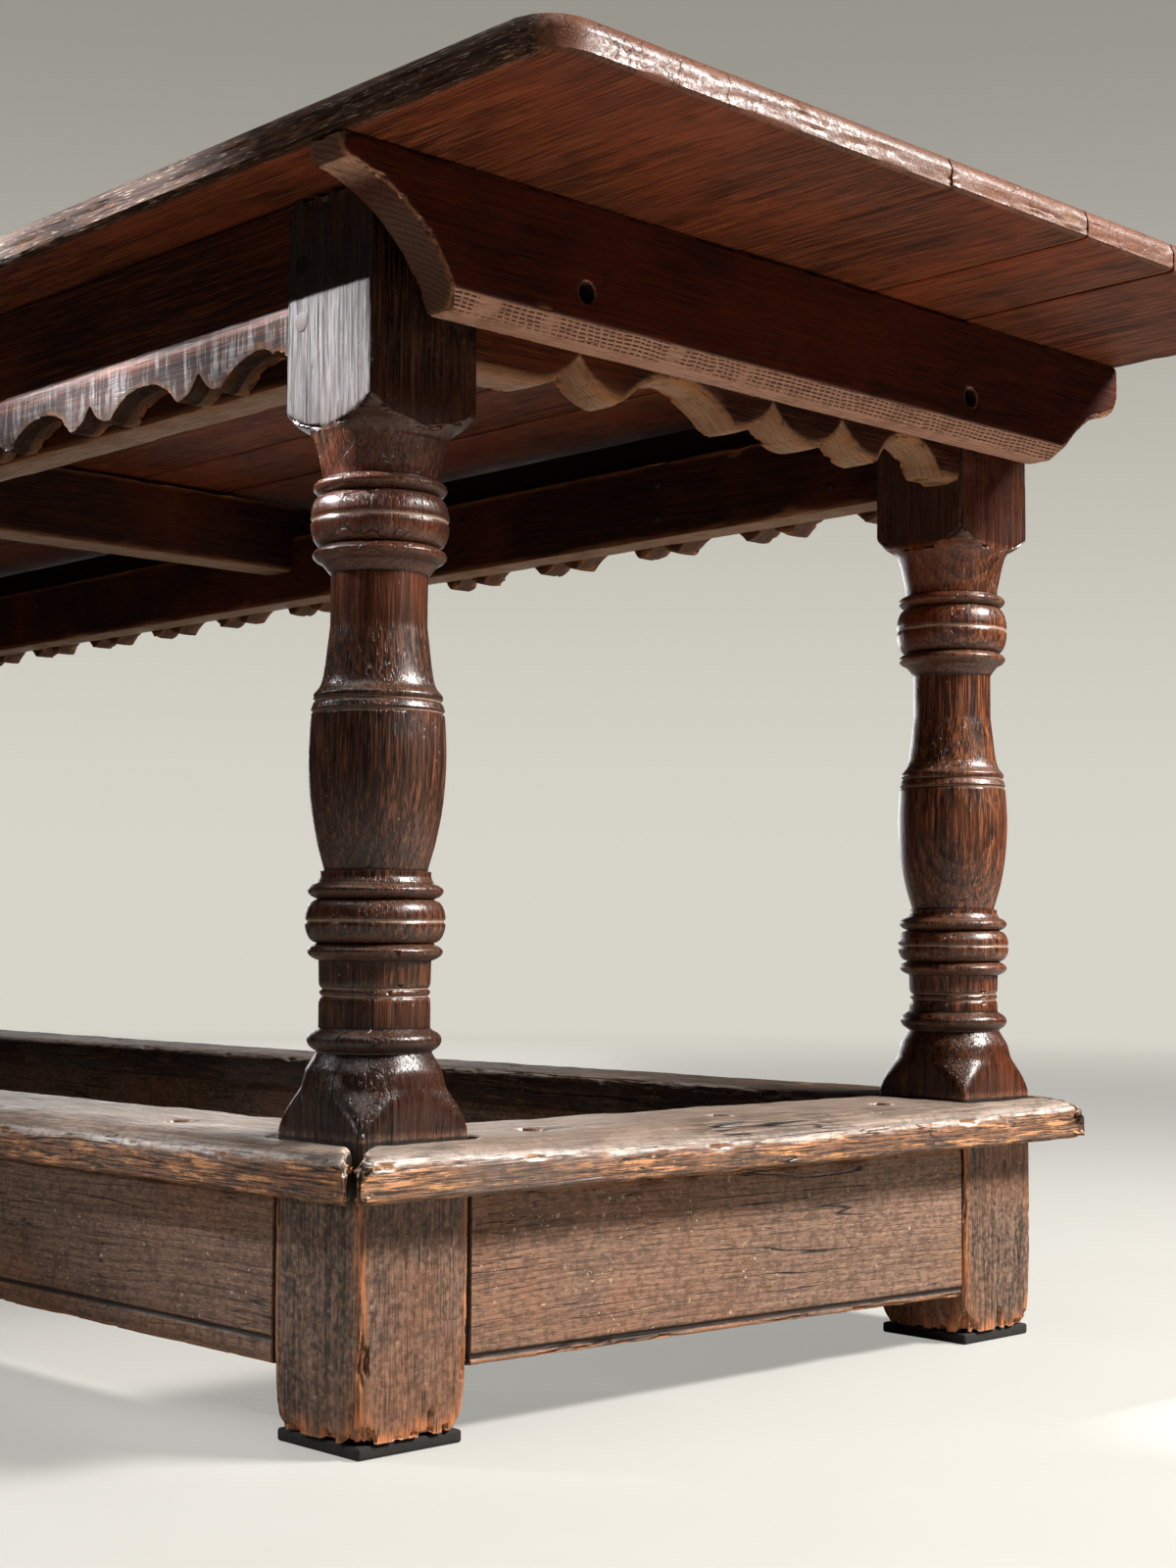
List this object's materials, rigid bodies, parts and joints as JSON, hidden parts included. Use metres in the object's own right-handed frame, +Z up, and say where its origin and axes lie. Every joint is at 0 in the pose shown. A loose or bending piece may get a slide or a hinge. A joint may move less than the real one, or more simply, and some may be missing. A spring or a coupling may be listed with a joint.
{
  "type": "refectory table",
  "caption": "Long oak refectory table with turned legs, scalloped aprons, pegged joints, worn foot rails all round and a boarded top that lifts off on end battens.",
  "frame": {"origin": "centre of the table's plan, on the floor under the foot pads", "axes": "+X along the length to the end in the foreground of the picture, +Y across the width away from the near long side, +Z up"},
  "size_m": [2.286, 0.79, 0.79],
  "materials": {
    "top_oak": "waxed, red-brown",
    "leg_oak": "waxed, dark",
    "apron_oak": "waxed, dark red-brown",
    "base_oak": "worn, dusty",
    "peg_oak": "waxed",
    "wrought_iron": "rusted black",
    "felt": "black felt"
  },
  "bodies": {
    "frame": {"leg_front_right": "leg_oak", "leg_back_right": "leg_oak", "leg_front_left": "leg_oak", "leg_back_left": "leg_oak", "apron_front": "apron_oak", "apron_back": "apron_oak", "apron_right": "apron_oak", "apron_left": "apron_oak", "apron_pegs": "peg_oak", "liner_front": "apron_oak", "liner_back": "apron_oak", "liner_nails": "wrought_iron", "bearer": "apron_oak", "stretcher_front": "base_oak", "stretcher_back": "base_oak", "stretcher_right": "base_oak", "stretcher_left": "base_oak", "stretcher_pegs": "peg_oak", "foot_rail_front": "base_oak", "foot_rail_back": "base_oak", "foot_rail_right": "base_oak", "foot_rail_left": "base_oak", "foot_rail_pegs": "peg_oak", "foot_pads": "felt"},
    "top": {"top_board_1": "top_oak", "top_board_2": "top_oak", "top_board_3": "top_oak", "top_board_4": "top_oak", "board_tongues": "top_oak", "batten_right": "top_oak", "batten_left": "top_oak", "batten_pegs": "peg_oak"}
  },
  "joints": [
    {"name": "top_lift", "type": "slide", "parent": "frame", "child": "top", "axis": [0, 0, 1], "range_m": [0, 0.15]}
  ]
}
